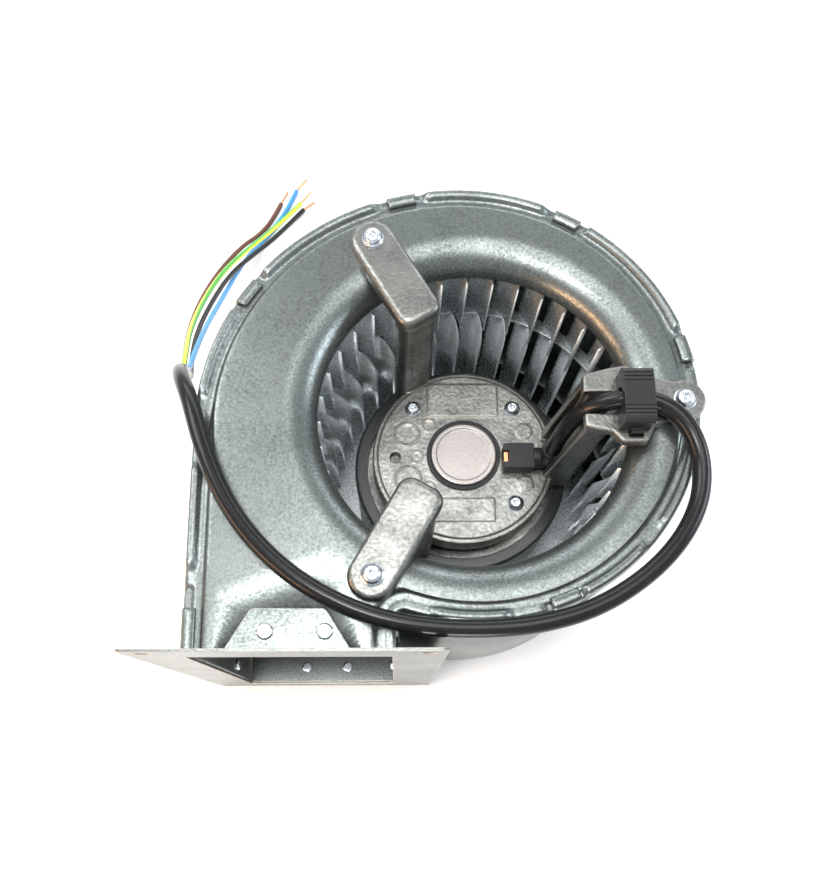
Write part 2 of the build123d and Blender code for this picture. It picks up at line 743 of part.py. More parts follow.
save("motor_bracket", motor_bracket())
save("bracket_screws", bracket_screws())
save("bracket_nuts", bracket_nuts())
save("stator_screws", stator_screws())
save("bearing_cap", bearing_cap())
save("cap_seal_ring", ring(seal_r, cap_r, face_z, 0.8))
save("stator_core", stator_core())
save("stator_insulators", stator_insulators())
save("stator_windings", stator_windings())
save("stator_leads", stator_leads())
save("bearing_outer_rings", bearing_rings(bearing_r, bearing_r - bearing_ring))
save("bearing_balls", bearing_balls())
save("preload_washer", ring(bearing_r - 0.2, bearing_r - 2.2, front_bearing_z + bearing_width, 1.0))

save("rotor_shaft", disc(shaft_r, rotor_z, face_z - 3.6 - rotor_z))
save("shaft_retaining_ring", ring(shaft_r + 1.8, shaft_r, front_bearing_z + bearing_width, 1.0))
save("bearing_inner_rings", bearing_rings(shaft_r + bearing_ring, shaft_r))
save("rotor_can", rotor_can())
save("rotor_core", ring(rotor_r - can_wall, stator_r + air_gap, core_z, core_height))
end_ring = ring(rotor_r - can_wall - 1.0, stator_r + 2.0, 0, 4.0)
save("rotor_end_rings", group([Pos(0, 0, core_z - 4.0) * end_ring, Pos(0, 0, core_top) * end_ring]))
save("hub_rivets", hub_rivets())
save("wheel_back_disc", back_disc())
save("wheel_rear_blades", blades(rear_z, rear_blade_height, 9.0))
save("wheel_mid_ring", wheel_ring(wheel_r, wheel_r - 5.0, mid_ring_z))
save("wheel_front_blades", blades(front_z, front_blade_height, 0))
save("wheel_front_ring", wheel_ring(wheel_r, wheel_r - 8.0, front_ring_z))

save("cable_connector", cable_connector())
save("connector_terminal", connector_terminal())
save("cable_clip", cable_clip())
cord("cable_sheath", sheath_route, cable_r)
for name in core_routes:
    cord("core_" + name, core_points(name), core_r)
    save("wire_end_" + name, bared_wire(name))
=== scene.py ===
# %% [markdown]
# # A combustion fan over its CAD frame
# The fan is a forward-curved wheel on an external-rotor motor, in a scroll of galvanised sheet.
# The CAD model gives every place and size. This script adds what a press, a casting or a moulding
# leaves on the surface: rolled edges, rounded corners, grain and gloss. Everything is in metres
# here, so sizes that were chosen in millimetres are multiplied by `mm`.

import json
import math

import bmesh
import bpy
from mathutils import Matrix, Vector


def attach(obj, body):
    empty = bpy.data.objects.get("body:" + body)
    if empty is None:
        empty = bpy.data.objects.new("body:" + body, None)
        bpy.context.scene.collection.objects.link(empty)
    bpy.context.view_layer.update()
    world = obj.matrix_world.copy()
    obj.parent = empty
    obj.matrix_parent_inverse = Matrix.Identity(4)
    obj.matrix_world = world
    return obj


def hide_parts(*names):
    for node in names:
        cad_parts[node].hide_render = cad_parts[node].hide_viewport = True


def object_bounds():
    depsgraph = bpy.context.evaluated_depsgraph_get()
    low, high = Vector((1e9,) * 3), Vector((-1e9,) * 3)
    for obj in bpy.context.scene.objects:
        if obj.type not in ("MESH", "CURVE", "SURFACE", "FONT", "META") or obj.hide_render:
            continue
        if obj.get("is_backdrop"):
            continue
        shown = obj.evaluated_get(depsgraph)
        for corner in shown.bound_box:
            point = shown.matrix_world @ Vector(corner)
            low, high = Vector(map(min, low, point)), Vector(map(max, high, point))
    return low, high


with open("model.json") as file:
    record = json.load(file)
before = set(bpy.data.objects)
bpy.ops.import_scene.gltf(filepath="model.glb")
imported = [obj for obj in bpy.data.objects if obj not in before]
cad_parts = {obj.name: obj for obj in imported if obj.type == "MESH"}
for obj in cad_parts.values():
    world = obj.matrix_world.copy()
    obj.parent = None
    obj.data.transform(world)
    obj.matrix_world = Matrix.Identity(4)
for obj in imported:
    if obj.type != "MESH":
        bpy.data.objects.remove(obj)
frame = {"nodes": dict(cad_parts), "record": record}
cad_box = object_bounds()
nodes = frame["nodes"]
mm = 0.001
print(len(nodes), "CAD nodes, box", [round(v, 4) for corner in cad_box for v in corner])

# %% [markdown]
# ## Camera
# A camera held close over the fan sees the outlet's inside and the motor at the bottom of the
# inlet at the same time. It could look straight at the middle of the fan, but then upright edges
# would lean. It is tipped only a little, and the lens is shifted to bring the fan into the frame.

# %% Camera
camera_data = bpy.data.cameras.new("close_camera")
camera_data.lens = 28.47
camera_data.sensor_width = 36.0
camera_data.shift_x = 0.0228
camera_data.shift_y = 0.178
camera_data.clip_start = 0.01
camera = bpy.data.objects.new("close_camera", camera_data)
camera.location = (-0.0292, -0.1176, 0.3464)
camera.rotation_euler = (math.radians(11.33), 0.0, math.radians(-0.23))
bpy.context.scene.collection.objects.link(camera)
bpy.context.scene.camera = camera
print("camera", [round(v, 4) for v in camera.location])

# %% [markdown]
# ## Cable
# The cable leaves its boot upwards, lies across the front wall, leaves the scroll at the left and
# comes down to the surface, where its four cores lie. A cable is stiff and never kinks, so it is
# one smooth NURBS line with a round bevel. A chain of straight tubes would show its joints.

# %% Cable and its cores
cable_diameter = 6.4 * mm
core_diameter = 2.4 * mm
boot_mouth = (34.6, -3.0, 82.0)
sheath_route = [
    boot_mouth,
    (34.6, -3.0, 94.0),
    (36.5, -1.8, 106.0),
    (42.5, -0.6, 115.5),
    (51.5, -0.9, 121.0),
    (61.0, -2.0, 121.8),
    (69.5, -7.0, 121.4),
    (75.2, -15.5, 119.9),
    (77.3, -26.5, 118.7),
    (75.0, -39.5, 118.4),
    (67.0, -53.0, 118.3),
    (54.5, -65.0, 118.2),
    (37.5, -75.2, 118.2),
    (18.0, -80.6, 118.2),
    (-2.0, -82.0, 118.2),
    (-22.0, -80.8, 118.3),
    (-41.5, -76.0, 118.3),
    (-60.5, -66.0, 118.3),
    (-76.0, -52.6, 118.3),
    (-87.6, -36.6, 118.4),
    (-95.6, -18.3, 118.6),
    (-101.5, 1.0, 117.4),
    (-107.5, 14.0, 110.5),
    (-112.0, 24.0, 97.5),
    (-115.5, 30.5, 82.0),
]
core_routes = {
    "green_yellow": [
        (-122.1, 51.3, 62.0),
        (-126.3, 76.1, 44.0),
        (-124.8, 103.7, 28.0),
        (-119.6, 129.5, 14.0),
        (-109.3, 151.5, 3.0),
        (-97.2, 169.6, -4.5),
        (-83.3, 189.5, -8.6),
    ],
    "blue": [
        (-118.6, 53.9, 60.0),
        (-119.8, 80.2, 40.0),
        (-118.4, 106.8, 21.0),
        (-116.8, 131.5, 4.5),
        (-112.3, 152.7, -6.0),
        (-105.7, 165.7, -11.0),
        (-97.9, 176.4, -11.2),
        (-91.2, 187.8, -11.2),
        (-86.2, 200.6, -11.2),
    ],
    "black": [
        (-120.4, 51.3, 58.5),
        (-124.0, 76.8, 40.5),
        (-122.3, 104.3, 24.0),
        (-117.4, 130.0, 10.0),
        (-107.4, 150.7, -1.0),
        (-96.2, 167.2, -8.0),
        (-81.8, 187.7, -11.2),
    ],
    "brown": [
        (-124.4, 52.0, 56.5),
        (-128.4, 78.3, 40.0),
        (-127.8, 107.1, 23.5),
        (-123.0, 134.4, 8.5),
        (-114.7, 157.8, -3.5),
        (-107.5, 169.9, -10.5),
        (-100.3, 179.8, -11.2),
        (-95.1, 191.8, -11.2),
    ],
}


def cord_line(name, route, diameter):
    """A round tube along one NURBS line through the route's control points, and its centreline."""
    curve = bpy.data.curves.new(name, "CURVE")
    curve.dimensions = "3D"
    curve.resolution_u = 16
    spline = curve.splines.new("NURBS")
    spline.points.add(len(route) - 1)
    for point, place in zip(spline.points, route):
        point.co = (*(v * mm for v in place), 1.0)
    spline.order_u = 3
    spline.use_endpoint_u = True
    line = bpy.data.objects.new(name + "_line", curve)
    bpy.context.scene.collection.objects.link(line)
    settled = line.evaluated_get(bpy.context.evaluated_depsgraph_get())
    centreline = bpy.data.meshes.new_from_object(settled)
    curve.bevel_depth = diameter / 2
    curve.bevel_resolution = 6
    curve.use_fill_caps = True
    settled = line.evaluated_get(bpy.context.evaluated_depsgraph_get())
    tube = bpy.data.meshes.new_from_object(settled)
    bpy.data.objects.remove(line)
    tube.name = name
    tube.shade_smooth()
    piece = bpy.data.objects.new(name, tube)
    bpy.context.scene.collection.objects.link(piece)
    return piece, [tuple(v.co) for v in centreline.vertices]


sheath, sheath_line = cord_line("cable_sheath_pvc", sheath_route, cable_diameter)
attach(sheath, "housing")
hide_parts("cable_sheath")

sheath_end = Vector(sheath_route[-1])
sheath_way = (sheath_end - Vector(sheath_route[-2])).normalized()
side_way = sheath_way.cross(Vector((0, 0, 1))).normalized()
over_way = side_way.cross(sheath_way).normalized()
core_spread = 1.4
core_corners = {"green_yellow": (-1, 1), "blue": (1, 1), "black": (1, -1), "brown": (-1, -1)}
cores = {}
for colour, (side, over) in core_corners.items():
    start = sheath_end + core_spread * (side * side_way + over * over_way)
    route = [tuple(start), tuple(start + 12 * sheath_way)] + core_routes[colour]
    core, core_line = cord_line(f"core_{colour}_pvc", route, core_diameter)
    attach(core, "housing")
    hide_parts(f"core_{colour}")
    cores[colour] = core
print("cords:", sheath.name, *(core.name for core in cores.values()))

# %% [markdown]
# ## Shared surface effects
# Rolled sheet, a casting and a moulding all show the same two things at different scales: an
# uneven tone, and corners that catch the light. That light on the corners is painted: a lighter
# highlight colour mixed in there. Each effect is one shader node group, so that every finish can
# use it with its own numbers. The shader itself stays outside the groups.

# %% Helpers for node groups
def new_group(kind, name, inputs, outputs):
    """An empty node group with its sockets: (label, socket type, value) in, (label, type) out."""
    tree = bpy.data.node_groups.new(name, kind)
    for label, socket_type, value in inputs:
        socket = tree.interface.new_socket(label, in_out="INPUT", socket_type=socket_type)
        if value is not None:
            socket.default_value = value
    for label, socket_type in outputs:
        tree.interface.new_socket(label, in_out="OUTPUT", socket_type=socket_type)
    return tree, tree.nodes.new("NodeGroupInput"), tree.nodes.new("NodeGroupOutput")


def math_node(tree, operation, first, second):
    """A Math node whose inputs are sockets or plain numbers; returns its result."""
    node = tree.nodes.new("ShaderNodeMath")
    node.operation = operation
    for socket, value in zip(node.inputs, (first, second)):
        if isinstance(value, (int, float)):
            socket.default_value = value
        else:
            tree.links.new(value, socket)
    return node.outputs[0]


def spread(tree, value, low, high, to_low=0.0, to_high=1.0):
    """A Map Range node from low..high to to_low..to_high."""
    node = tree.nodes.new("ShaderNodeMapRange")
    ends = {"From Min": low, "From Max": high, "To Min": to_low, "To Max": to_high}
    for label, number in ends.items():
        node.inputs[label].default_value = number
    tree.links.new(value, node.inputs["Value"])
    return node.outputs["Result"]


print("helpers: new_group, math_node, spread")

# %% Surface grain
grain_group, grain_in, grain_out = new_group(
    "ShaderNodeTree",
    "surface_grain",
    [
        ("Vector", "NodeSocketVector", None),
        ("Fineness", "NodeSocketFloat", 900.0),
        ("Cloud fineness", "NodeSocketFloat", 40.0),
        ("Cloudiness", "NodeSocketFloat", 0.4),
    ],
    [("Tone", "NodeSocketFloat"), ("Height", "NodeSocketFloat")],
)
fine = grain_group.nodes.new("ShaderNodeTexNoise")
fine.inputs["Detail"].default_value = 4.0
cloud = grain_group.nodes.new("ShaderNodeTexNoise")
cloud.inputs["Detail"].default_value = 3.0
for noise, label in ((fine, "Fineness"), (cloud, "Cloud fineness")):
    grain_group.links.new(grain_in.outputs["Vector"], noise.inputs["Vector"])
    grain_group.links.new(grain_in.outputs[label], noise.inputs["Scale"])
fine_tone = spread(grain_group, fine.outputs[0], 0.3, 0.7)
cloud_tone = spread(grain_group, cloud.outputs[0], 0.3, 0.7)
cloud_part = math_node(grain_group, "MULTIPLY", cloud_tone, grain_in.outputs["Cloudiness"])
fine_share = math_node(grain_group, "SUBTRACT", 1.0, grain_in.outputs["Cloudiness"])
fine_part = math_node(grain_group, "MULTIPLY", fine_tone, fine_share)
tone = math_node(grain_group, "ADD", cloud_part, fine_part)
grain_group.links.new(tone, grain_out.inputs["Tone"])
grain_group.links.new(fine.outputs[0], grain_out.inputs["Height"])
print("surface_grain:", len(grain_group.nodes), "nodes")

# %% Rounded edges and a painted edge highlight
edge_group, edge_in, edge_out = new_group(
    "ShaderNodeTree",
    "edge_rounding_and_painted_highlight",
    [("Radius", "NodeSocketFloat", 0.0006)],
    [("Edge", "NodeSocketFloat"), ("Normal", "NodeSocketVector")],
)
# The Normal output rounds the corners' shading. The Edge output marks the corners, where each
# finish mixes in a painted highlight colour.
rounding = edge_group.nodes.new("ShaderNodeBevel")
rounding.samples = 6
edge_group.links.new(edge_in.outputs["Radius"], rounding.inputs["Radius"])
geometry = edge_group.nodes.new("ShaderNodeNewGeometry")
facing = edge_group.nodes.new("ShaderNodeVectorMath")
facing.operation = "DOT_PRODUCT"
edge_group.links.new(rounding.outputs[0], facing.inputs[0])
edge_group.links.new(geometry.outputs["Normal"], facing.inputs[1])
corner_share = spread(edge_group, facing.outputs["Value"], 0.99, 0.88)
edge_group.links.new(corner_share, edge_out.inputs["Edge"])
edge_group.links.new(rounding.outputs[0], edge_out.inputs["Normal"])
print("edge_rounding_and_painted_highlight:", len(edge_group.nodes), "nodes")

# %% [markdown]
# ## Finishes
# One function lays out the nodes of a finish: two tones mixed by the grain, a third painted on
# the edges as a highlight, roughness from the same grain, and a bump. Each call then describes
# one real surface.

# %% The finish function
def finish(
    name,
    tones,
    edge_highlight,
    roughness,
    metallic=1.0,
    fineness=900.0,
    cloud_fineness=40.0,
    cloudiness=0.4,
    stretch=(1.0, 1.0, 1.0),
    bump=0.1,
    bump_depth=0.0002,
    edge_radius=0.0006,
    edge_highlight_strength=0.6,
    stripe=None,
    shine=0.5,
):
    """A node material. tones are its dark and light colours; the edge colour is a painted highlight
    mixed in on the corners. stripe is the colour of a stripe along a cord, on half of its round."""
    material = bpy.data.materials.new(name)
    material.use_nodes = True
    tree = material.node_tree
    shader = tree.nodes["Principled BSDF"]
    shader.inputs["Metallic"].default_value = metallic
    shader.inputs["Specular IOR Level"].default_value = shine
    place = tree.nodes.new("ShaderNodeTexCoord")
    mapping = tree.nodes.new("ShaderNodeMapping")
    mapping.inputs["Scale"].default_value = stretch
    tree.links.new(place.outputs["Object"], mapping.inputs["Vector"])
    grain = tree.nodes.new("ShaderNodeGroup")
    grain.node_tree = grain_group
    tree.links.new(mapping.outputs[0], grain.inputs["Vector"])
    grain.inputs["Fineness"].default_value = fineness
    grain.inputs["Cloud fineness"].default_value = cloud_fineness
    grain.inputs["Cloudiness"].default_value = cloudiness
    rounding_and_highlight = tree.nodes.new("ShaderNodeGroup")
    rounding_and_highlight.node_tree = edge_group
    rounding_and_highlight.inputs["Radius"].default_value = edge_radius

    body = tree.nodes.new("ShaderNodeMix")
    body.data_type = "RGBA"
    body.inputs["A"].default_value = (*tones[0], 1.0)
    body.inputs["B"].default_value = (*tones[1], 1.0)
    tree.links.new(grain.outputs["Tone"], body.inputs["Factor"])
    # Painted highlight: the edge colour is mixed into the base colour on the corners, as if light
    # caught them.
    highlighted = tree.nodes.new("ShaderNodeMix")
    highlighted.data_type = "RGBA"
    highlighted.inputs["B"].default_value = (*edge_highlight, 1.0)
    highlight_share = math_node(tree, "MULTIPLY", rounding_and_highlight.outputs["Edge"], edge_highlight_strength)
    tree.links.new(highlight_share, highlighted.inputs["Factor"])
    if stripe:
        round_cord = tree.nodes.new("ShaderNodeUVMap")
        round_cord.uv_map = "UVMap"
        split = tree.nodes.new("ShaderNodeSeparateXYZ")
        tree.links.new(round_cord.outputs[0], split.inputs[0])
        doubled = math_node(tree, "MULTIPLY", split.outputs[1], 2.0)
        wound = math_node(tree, "ADD", split.outputs[0], doubled)
        half = math_node(tree, "GREATER_THAN", math_node(tree, "FRACT", wound, 0.0), 0.6)
        banded = tree.nodes.new("ShaderNodeMix")
        banded.data_type = "RGBA"
        banded.inputs["B"].default_value = (*stripe, 1.0)
        tree.links.new(half, banded.inputs["Factor"])
        tree.links.new(body.outputs["Result"], banded.inputs["A"])
        body = banded
    tree.links.new(body.outputs["Result"], highlighted.inputs["A"])
    tree.links.new(highlighted.outputs["Result"], shader.inputs["Base Color"])
    matt = spread(tree, grain.outputs["Tone"], 0.0, 1.0, *roughness)
    tree.links.new(matt, shader.inputs["Roughness"])

    relief = tree.nodes.new("ShaderNodeBump")
    relief.inputs["Strength"].default_value = bump
    relief.inputs["Distance"].default_value = bump_depth
    tree.links.new(grain.outputs["Height"], relief.inputs["Height"])
    tree.links.new(rounding_and_highlight.outputs["Normal"], relief.inputs["Normal"])
    tree.links.new(relief.outputs[0], shader.inputs["Normal"])
    return material


print("ready to lay out finishes")

# %% The finishes of this fan
# Every finish's edge colour is a painted highlight on its corners. On the galvanised sheet and the
# casting it is warm, a painted warm reflection along the rolled edges, beads and arms.
finishes = {
    "galvanised_steel": finish(
        "galvanised_steel",
        tones=((0.08, 0.092, 0.089), (0.25, 0.275, 0.268)),
        # Painted warm reflection along the rolled edges and beads.
        edge_highlight=(0.90, 0.76, 0.62),
        roughness=(0.40, 0.25),
        metallic=0.88,
        fineness=1100.0,
        cloud_fineness=45.0,
        cloudiness=0.3,
        bump=0.25,
        edge_highlight_strength=0.75,
    ),
    # Painted light: the same galvanised sheet as the scroll, with far lighter tones and less metal,
    # so that the blades look brightly lit.
    "wheel_sheet_painted_light": finish(
        "wheel_sheet_painted_light",
        tones=((0.58, 0.63, 0.64), (0.86, 0.90, 0.91)),
        edge_highlight=(0.85, 0.86, 0.86),
        roughness=(0.34, 0.22),
        metallic=0.45,
        fineness=900.0,
        cloudiness=0.15,
        bump=0.1,
        edge_highlight_strength=0.3,
    ),
    "zinc_fasteners": finish(
        "zinc_fasteners",
        tones=((0.55, 0.60, 0.66), (0.80, 0.84, 0.90)),
        edge_highlight=(0.95, 0.95, 0.95),
        roughness=(0.30, 0.16),
        fineness=1500.0,
        edge_radius=0.0003,
    ),
    "cast_aluminium": finish(
        "cast_aluminium",
        tones=((0.09, 0.092, 0.087), (0.33, 0.33, 0.312)),
        # Painted warm reflection along the casting's edges.
        edge_highlight=(0.60, 0.53, 0.45),
        roughness=(0.44, 0.26),
        metallic=0.95,
        fineness=700.0,
        cloud_fineness=90.0,
        cloudiness=0.55,
        bump=0.35,
        bump_depth=0.0005,
        edge_radius=0.0012,
        edge_highlight_strength=0.7,
    ),
    "cap_steel": finish(
        "cap_steel",
        tones=((0.27, 0.245, 0.235), (0.38, 0.35, 0.335)),
        edge_highlight=(0.85, 0.83, 0.80),
        roughness=(0.42, 0.32),
        fineness=1200.0,
        edge_radius=0.0008,
    ),
    "black_rubber": finish(
        "black_rubber",
        tones=((0.012, 0.012, 0.013), (0.03, 0.03, 0.032)),
        edge_highlight=(0.06, 0.06, 0.06),
        roughness=(0.65, 0.5),
        metallic=0.0,
        shine=0.3,
    ),
    "lamination_steel": finish(
        "lamination_steel",
        tones=((0.18, 0.18, 0.19), (0.30, 0.30, 0.31)),
        edge_highlight=(0.5, 0.5, 0.5),
        roughness=(0.5, 0.36),
        stretch=(0.1, 0.1, 2.0),
        bump=0.4,
    ),
    "insulator_plastic": finish(
        "insulator_plastic",
        tones=((0.62, 0.58, 0.48), (0.74, 0.70, 0.60)),
        edge_highlight=(0.8, 0.78, 0.7),
        roughness=(0.5, 0.4),
        metallic=0.0,
    ),
    "copper": finish(
        "copper",
        tones=((0.55, 0.25, 0.12), (0.86, 0.46, 0.26)),
        edge_highlight=(0.95, 0.62, 0.42),
        roughness=(0.36, 0.22),
        fineness=1500.0,
        edge_radius=0.0002,
    ),
    "bearing_steel": finish(
        "bearing_steel",
        tones=((0.52, 0.52, 0.53), (0.66, 0.66, 0.67)),
        edge_highlight=(0.9, 0.9, 0.9),
        roughness=(0.2, 0.12),
    ),
    "black_lacquer": finish(
        "black_lacquer",
        tones=((0.012, 0.013, 0.014), (0.028, 0.030, 0.031)),
        edge_highlight=(0.30, 0.30, 0.30),
        roughness=(0.34, 0.24),
        metallic=0.2,
        edge_radius=0.0008,
    ),
    "black_nylon": finish(
        "black_nylon",
        tones=((0.010, 0.010, 0.011), (0.022, 0.022, 0.024)),
        edge_highlight=(0.05, 0.05, 0.052),
        roughness=(0.42, 0.32),
        metallic=0.0,
        shine=0.3,
        fineness=1800.0,
        edge_radius=0.0004,
    ),
    "black_pvc": finish(
        "black_pvc",
        tones=((0.006, 0.006, 0.007), (0.014, 0.014, 0.015)),
        edge_highlight=(0.03, 0.03, 0.03),
        roughness=(0.24, 0.18),
        metallic=0.0,
        shine=0.25,
        fineness=600.0,
        bump=0.05,
    ),
    "core_black_pvc": finish(
        "core_black_pvc",
        tones=((0.012, 0.012, 0.013), (0.022, 0.022, 0.023)),
        edge_highlight=(0.03, 0.03, 0.03),
        roughness=(0.36, 0.3),
        metallic=0.0,
        shine=0.3,
        bump=0.05,
    ),
    "core_blue_pvc": finish(
        "core_blue_pvc",
        tones=((0.03, 0.22, 0.52), (0.06, 0.30, 0.62)),
        edge_highlight=(0.12, 0.36, 0.66),
        roughness=(0.36, 0.3),
        metallic=0.0,
        bump=0.05,
    ),
    "core_brown_pvc": finish(
        "core_brown_pvc",
        tones=((0.10, 0.035, 0.02), (0.15, 0.055, 0.03)),
        edge_highlight=(0.2, 0.09, 0.05),
        roughness=(0.36, 0.3),
        metallic=0.0,
        bump=0.05,
    ),
    "core_green_yellow_pvc": finish(
        "core_green_yellow_pvc",
        tones=((0.06, 0.34, 0.05), (0.10, 0.44, 0.07)),
        edge_highlight=(0.12, 0.46, 0.1),
        stripe=(0.86, 0.78, 0.04),
        roughness=(0.36, 0.3),
        metallic=0.0,
        bump=0.05,
    ),
}
print(len(finishes), "finishes")


# %% Finishes onto the CAD nodes
def dress(obj, slot, look=None):
    """Gives a piece or a CAD node one finish: the one named look, or else the one named slot."""
    if not obj.data.materials:
        obj.data.materials.append(None)
    for material_slot in obj.material_slots:
        material_slot.material = finishes[look or slot]
    return obj


slot_of = {part["node"]: part["material_slot"] for part in frame["record"]["subparts"]}
for node, slot in slot_of.items():
    # The wheel's nodes get the galvanised sheet painted lighter, which stands in for light on the
    # blades.
    dress(nodes[node], slot, "wheel_sheet_painted_light" if node.startswith("wheel_") else None)
dress(sheath, "black_pvc")
for colour, core in cores.items():
    dress(core, f"core_{colour}_pvc")
print("dressed", len(slot_of), "nodes and", 1 + len(cores), "cords")

# %% [markdown]
# ## The scroll's outline
# Every sheet of the scroll follows one line: up the outlet's right side, round the tongue, round
# three arcs that open out, and down the outlet's left side. Drawing it by hand would never match
# the CAD model, so it is worked out from the same arcs, and may be moved inwards by an inset.

# %% Outline of the scroll
duct_end_y = -89.0
tongue_centre = (-26.0, -77.5)
tongue_radius = 3.0
low_arc = ((-0.3, 3.1), 81.6)
right_arc = ((-5.0, 3.1), 86.3)
left_arc = ((-5.0, -6.6), 96.0)


def arc_points(centre, radius, first, last, steps):
    """Points on an arc, angles in degrees, without the last one."""
    made = []
    for k in range(steps):
        angle = math.radians(first + (last - first) * k / steps)
        made.append((centre[0] + radius * math.cos(angle), centre[1] + radius * math.sin(angle)))
    return made


def line_points(start, end, steps):
    return [tuple(a + (b - a) * k / steps for a, b in zip(start, end)) for k in range(steps)]


def scroll_outline(inset):
    """The scroll's open outline in millimetres; every inset gives the same number of points."""
    wall_x = tongue_centre[0] - tongue_radius - inset
    reach = (low_arc[0][0] - tongue_centre[0], low_arc[0][1] - tongue_centre[1])
    turn = math.degrees(math.atan2(reach[1], reach[0]))
    left_x = left_arc[0][0] - left_arc[1] + inset
    points = line_points((wall_x, duct_end_y), (wall_x, tongue_centre[1]), 12)
    points += arc_points(tongue_centre, tongue_radius + inset, 180.0, turn, 12)
    points += arc_points(low_arc[0], low_arc[1] - inset, turn + 180.0, 360.0, 130)
    points += arc_points(right_arc[0], right_arc[1] - inset, 0.0, 90.0, 130)
    points += arc_points(left_arc[0], left_arc[1] - inset, 90.0, 180.0, 150)
    points += line_points((left_x, left_arc[0][1]), (left_x, duct_end_y), 80)
    return points + [(left_x, duct_end_y)]


rim_line = scroll_outline(0.0)
print("outline points:", len(rim_line))

# %% [markdown]
# ## Front wall
# The front wall is pressed from one sheet. Its edge is rolled over the band, a lowered rim with
# long beads stiffens it, and the inlet is drawn inwards as a bell. A flat plate with bevels has
# none of these soft steps, so the sheet is skinned over a row of outlines at rising heights, and
# Solidify then gives it its thickness.

# %% Beads and seats in the front wall
bracket_screws_at = [(73.5, 0.0), (-36.75, 63.65), (-36.75, -63.65)]
seat_radius = 6.0
bead_height = 1.5
beads = [(-36.0, -5.0), (21.0, 60.0), (69.5, 102.0), (112.5, 146.5), (153.5, 178.0), (191.5, 212.0)]
beads += [(257.0, 278.0), (296.0, 318.0)]
tab_angles = [16.0, 64.0, 107.0, 151.0, 292.0, 218.5]


def ease(value):
    value = min(max(value, 0.0), 1.0)
    return value * value * (3 - 2 * value)


def bead_lift(x, y):
    """How far a bead lifts the rim at this point, in millimetres."""
    angle = math.degrees(math.atan2(y, x)) % 360
    lift = 0.0
    for first, last in beads:
        middle, half = (first + last) / 2, (last - first) / 2
        away = abs((angle - middle + 180) % 360 - 180)
        lift = max(lift, ease((half - away) / 2.2))
    return lift * bead_height


def tab_dip(x, y):
    """1 beside a folded tab, where the rolled edge is cut away, and 0 elsewhere."""
    angle = math.degrees(math.atan2(y, x)) % 360
    away = min(abs((angle - tab + 180) % 360 - 180) for tab in tab_angles)
    return 1 - ease((away - 5.2) / 0.5)


def seat_push(point, normal):
    """How far the raised panel's edge moves out here to pass round a bracket screw."""
    push = 0.0
    for seat in bracket_screws_at:
        dx, dy = point[0] - seat[0], point[1] - seat[1]
        along = dx * normal[0] + dy * normal[1]
        inside = along * along - dx * dx - dy * dy + seat_radius**2
        if inside > 0:
            push = max(push, math.sqrt(inside) - along)
    return push


print("ready to press beads and seats")

# %% Skinning helpers
def make_piece(name, mesh_builder, slot, body="housing"):
    """Runs mesh_builder on an empty bmesh in millimetres, and makes a dressed piece of it."""
    built = bmesh.new()
    mesh_builder(built)
    bmesh.ops.scale(built, vec=(mm, mm, mm), verts=built.verts)
    mesh = bpy.data.meshes.new(name)
    built.to_mesh(mesh)
    built.free()
    mesh.shade_smooth()
    piece = bpy.data.objects.new(name, mesh)
    bpy.context.scene.collection.objects.link(piece)
    dress(piece, slot)
    return piece


def skin(built, rows, closed):
    """Quads between rows of vertices that have the same length."""
    for low, high in zip(rows, rows[1:]):
        count = len(low) if closed else len(low) - 1
        for k in range(count):
            n = (k + 1) % len(low)
            built.faces.new((low[k], low[n], high[n], high[k]))


def lathe(built, profile, steps):
    """Turns (radius, height) points round the axis and returns the rows of vertices."""
    rows = []
    for radius, height in profile:
        turns = [2 * math.pi * k / steps for k in range(steps)]
        places = [(radius * math.cos(t), radius * math.sin(t), height) for t in turns]
        rows.append([built.verts.new(place) for place in places])
    skin(built, rows, True)
    return rows


def set_modifiers(piece, thickness):
    """Sheet thickness inwards, baked into the mesh."""
    solid = piece.modifiers.new("sheet", "SOLIDIFY")
    solid.thickness = thickness
    solid.offset = -1.0
    bake_modifiers(piece)


def bake_modifiers(piece):
    """Replaces the piece's mesh by its evaluated one and removes the modifiers."""
    evaluated = piece.evaluated_get(bpy.context.evaluated_depsgraph_get())
    mesh = bpy.data.meshes.new_from_object(evaluated)
    piece.modifiers.clear()
    piece.data = mesh


print("ready to skin pieces")

# %% The front wall's sheet
step_outline = scroll_outline(7.0)
pushes = []
for k, point in enumerate(step_outline):
    outer = rim_line[k]
    gap = math.dist(outer, point)
    normal = ((outer[0] - point[0]) / gap, (outer[1] - point[1]) / gap)
    pushes.append(min(seat_push(point, normal), 4.6))

wall_profile = [
    (-0.15, 108.6, 0.0),
    (-0.2, 111.9, 0.0),
    (0.0, 112.7, 0.3),
    (0.45, 113.2, 0.8),
    (1.1, 113.4, 1.0),
    (1.9, 113.3, 1.0),
    (2.8, 113.2, 1.0),
    (3.4, 113.1, 0.7),
    (3.8, 113.0, 0.15),
    (4.2, 113.0, 0.0),
    (5.6, 113.0, 0.0),
    (6.3, 113.1, 0.0),
    (6.8, 113.6, 0.0),
    (7.1, 114.4, 0.0),
    (7.6, 114.9, 0.0),
    (8.4, 115.0, 0.0),
    (9.6, 115.0, 0.0),
    (11.0, 115.0, 0.0),
]
bell_radius, bell_drop = 70.0, 9.5


